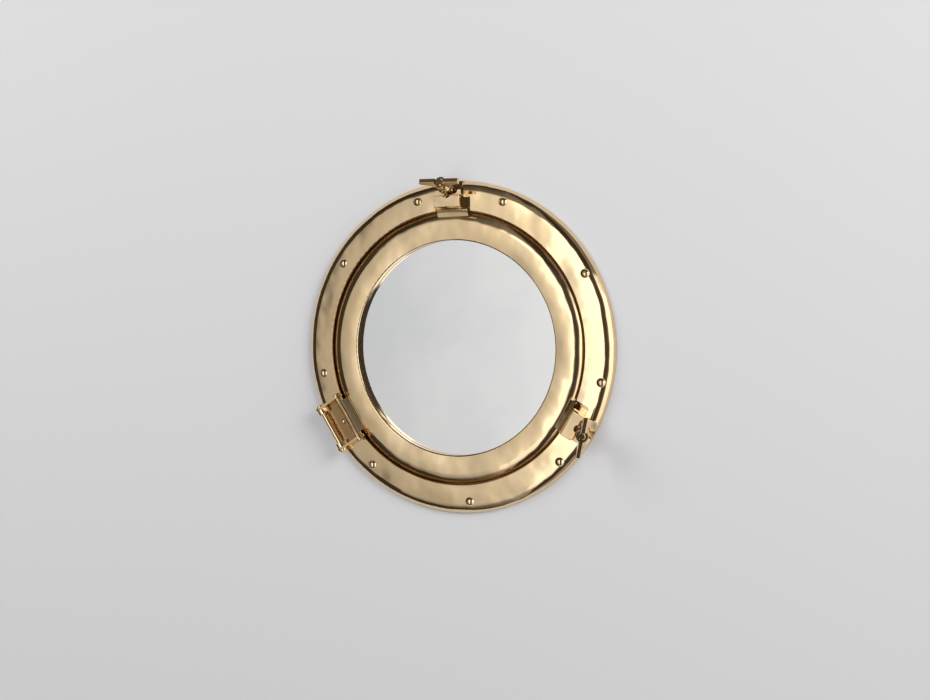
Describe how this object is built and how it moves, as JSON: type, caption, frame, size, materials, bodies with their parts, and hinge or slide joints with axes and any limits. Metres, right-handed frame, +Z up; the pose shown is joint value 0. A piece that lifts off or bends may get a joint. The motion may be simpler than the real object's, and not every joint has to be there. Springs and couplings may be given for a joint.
{
  "type": "porthole mirror",
  "caption": "Round brass porthole with a mirror in its hinged door, a dome-screwed ring, a double-pivot hinge and swing bolts with wing nuts.",
  "frame": {"origin": "centre of the outer ring, on the wall plane that the ring's back rests on", "axes": "front faces -Y, +Y points into the wall, +Z is up as hung, +X is to the right of the front view"},
  "size_m": [0.3799, 0.0452, 0.3838],
  "materials": {
    "ring_brass": "polished casting",
    "door_brass": "polished casting",
    "fitting_brass": "polished",
    "silvered_mirror": "silvered glass",
    "gasket_rubber": "matte",
    "hanger_steel": "zinc-plated",
    "hardboard": "pressed board"
  },
  "bodies": {
    "frame": {"outer_ring": "ring_brass", "ring_screws": "fitting_brass", "hinge_bracket": "fitting_brass", "hinge_bracket_screw": "fitting_brass", "bolt_pivot_pins": "fitting_brass", "landing_gasket": "gasket_rubber", "hanger_plates": "hanger_steel", "hanger_screws": "hanger_steel"},
    "link": {"link_plates": "fitting_brass", "outer_hinge_pin": "fitting_brass", "inner_hinge_pin": "fitting_brass"},
    "door": {"door_ring": "door_brass", "hinge_barrel": "fitting_brass", "lug_top": "fitting_brass", "lug_lower": "fitting_brass", "glass_gasket": "gasket_rubber", "mirror_glass": "silvered_mirror", "backing_board": "hardboard", "retaining_ring": "fitting_brass", "retaining_screws": "hanger_steel"},
    "bolt_top": {"swing_bolt_top": "fitting_brass"},
    "washer_top_body": {"washer_top": "fitting_brass"},
    "nut_top": {"wing_nut_top": "fitting_brass"},
    "bolt_lower": {"swing_bolt_lower": "fitting_brass"},
    "washer_lower_body": {"washer_lower": "fitting_brass"},
    "nut_lower": {"wing_nut_lower": "fitting_brass"}
  },
  "joints": [
    {"name": "hinge_link", "type": "hinge", "parent": "frame", "child": "link", "pos_m": [-0.15519, -0.0163, -0.09698], "axis": [0.5299, 0, -0.848], "range_deg": [0, 70]},
    {"name": "door_hinge", "type": "hinge", "parent": "link", "child": "door", "pos_m": [-0.1323, -0.0192, -0.08267], "axis": [0.5299, 0, -0.848], "range_deg": [0, 110]},
    {"name": "bolt_top_swing", "type": "hinge", "parent": "frame", "child": "bolt_top", "pos_m": [-0.00763, -0.0055, 0.17483], "axis": [-0.999, 0, -0.0436], "range_deg": [-22, 38]},
    {"name": "washer_top_slide", "type": "slide", "parent": "bolt_top", "child": "washer_top_body", "axis": [-0.0163, -0.9272, 0.3742], "range_m": [-0.0025, 0.00125]},
    {"name": "nut_top_spin", "type": "hinge", "parent": "washer_top_body", "child": "nut_top", "pos_m": [-0.00763, -0.0055, 0.17483], "axis": [-0.0163, -0.9272, 0.3742], "range_deg": [-720, 360]},
    {"name": "bolt_lower_swing", "type": "hinge", "parent": "frame", "child": "bolt_lower", "pos_m": [0.15155, -0.0055, -0.0875], "axis": [0.5, 0, 0.866], "range_deg": [-22, 38]},
    {"name": "washer_lower_slide", "type": "slide", "parent": "bolt_lower", "child": "washer_lower_body", "axis": [0.3244, -0.9272, -0.1873], "range_m": [-0.0025, 0.00125]},
    {"name": "nut_lower_spin", "type": "hinge", "parent": "washer_lower_body", "child": "nut_lower", "pos_m": [0.15155, -0.0055, -0.0875], "axis": [0.3244, -0.9272, -0.1873], "range_deg": [-720, 360]}
  ],
  "couplings": [
    {"joint": "washer_top_slide", "follows": "nut_top_spin", "m_per_rad": 0.00019894},
    {"joint": "washer_lower_slide", "follows": "nut_lower_spin", "m_per_rad": 0.00019894}
  ]
}
